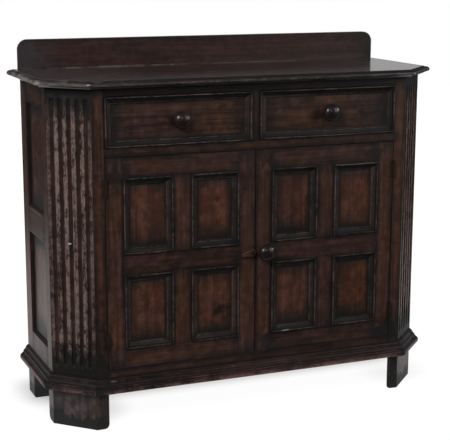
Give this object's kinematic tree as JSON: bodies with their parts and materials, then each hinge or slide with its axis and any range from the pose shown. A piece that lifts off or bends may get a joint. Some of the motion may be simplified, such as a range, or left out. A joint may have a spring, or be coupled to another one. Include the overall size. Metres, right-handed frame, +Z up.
{
  "type": "side cabinet",
  "caption": "Oak side cabinet with cut and fluted front corners, drawers over panelled doors, a moulded top with a low back board, and block feet.",
  "frame": {"origin": "on the floor under the middle of the whole cabinet's box, knobs and moulded top included", "axes": "+X to the right seen from the front, +Y to the back, +Z up; the doors and drawers face -Y"},
  "size_m": [1.14, 0.428, 0.994],
  "materials": {
    "dark_oak": "aged dark stain under worn wax",
    "polished_top_oak": "aged dark stain, waxed to a soft shine",
    "plinth_oak": "aged dark stain, worn reddish along the lower edge",
    "warm_panel_oak": "warm brown stain, darkened towards the edges",
    "black_moulding": "nearly black stain, worn on the ridges",
    "turned_knob": "nearly black, polished by hands",
    "button_wood": "red brown stain, worn",
    "plain_inner_oak": "plain, unstained and aged",
    "dark_iron": "blackened iron, dull"
  },
  "bodies": {
    "carcass": {"top_board": "polished_top_oak", "gallery_board": "polished_top_oak", "left_fluted_corner": "dark_oak", "right_fluted_corner": "dark_oak", "front_stiles": "dark_oak", "top_rail": "dark_oak", "middle_rail": "dark_oak", "bottom_rail": "dark_oak", "drawer_muntin": "dark_oak", "side_stiles": "dark_oak", "side_rails": "dark_oak", "side_panels": "warm_panel_oak", "rear_rails": "plain_inner_oak", "back_boards": "plain_inner_oak", "back_nails": "dark_iron", "floor_board": "plain_inner_oak", "shelf": "plain_inner_oak", "board_battens": "plain_inner_oak", "drawer_runners": "plain_inner_oak", "drawer_guides": "plain_inner_oak", "drawer_kickers": "plain_inner_oak", "door_stop_strip": "plain_inner_oak", "plinth_front_moulding": "plinth_oak", "plinth_corner_mouldings": "plinth_oak", "plinth_side_mouldings": "plinth_oak", "front_left_foot": "plinth_oak", "front_right_foot": "plinth_oak", "rear_feet": "plinth_oak", "carcass_hinge_leaves": "dark_iron", "hinge_pins": "dark_iron", "carcass_hinge_screws": "dark_iron"},
    "left_drawer": {"left_drawer_front": "warm_panel_oak", "left_drawer_mouldings": "black_moulding", "left_drawer_sides": "plain_inner_oak", "left_drawer_back": "plain_inner_oak", "left_drawer_bottom": "plain_inner_oak", "left_drawer_knob": "turned_knob"},
    "right_drawer": {"right_drawer_front": "warm_panel_oak", "right_drawer_mouldings": "black_moulding", "right_drawer_sides": "plain_inner_oak", "right_drawer_back": "plain_inner_oak", "right_drawer_bottom": "plain_inner_oak", "right_drawer_knob": "turned_knob"},
    "left_door": {"left_door_stiles": "dark_oak", "left_door_rails": "dark_oak", "left_door_muntins": "dark_oak", "left_door_panels": "warm_panel_oak", "left_door_mouldings": "black_moulding", "left_door_hinge_leaves": "dark_iron", "left_door_hinge_screws": "dark_iron", "turn_button_screw": "dark_iron"},
    "right_door": {"right_door_stiles": "dark_oak", "right_door_rails": "dark_oak", "right_door_muntins": "dark_oak", "right_door_panels": "warm_panel_oak", "right_door_mouldings": "black_moulding", "right_door_hinge_leaves": "dark_iron", "right_door_hinge_screws": "dark_iron", "right_door_knob": "turned_knob"},
    "turn_button": {"turn_button": "button_wood"}
  },
  "joints": [
    {"name": "left_drawer_slide", "type": "slide", "parent": "carcass", "child": "left_drawer", "axis": [0, -1, 0], "range_m": [0, 0.25]},
    {"name": "right_drawer_slide", "type": "slide", "parent": "carcass", "child": "right_drawer", "axis": [0, -1, 0], "range_m": [0, 0.25]},
    {"name": "left_door_hinge", "type": "hinge", "parent": "carcass", "child": "left_door", "pos_m": [-0.41425, -0.1804, 0.4385], "axis": [0, 0, -1], "range_deg": [0, 180]},
    {"name": "right_door_hinge", "type": "hinge", "parent": "carcass", "child": "right_door", "pos_m": [0.41425, -0.1804, 0.4385], "axis": [0, 0, 1], "range_deg": [0, 180]},
    {"name": "turn_button_pivot", "type": "hinge", "parent": "left_door", "child": "turn_button", "pos_m": [-0.011, -0.1811, 0.44025], "axis": [0, -1, 0], "range_deg": [-145, 130]}
  ]
}
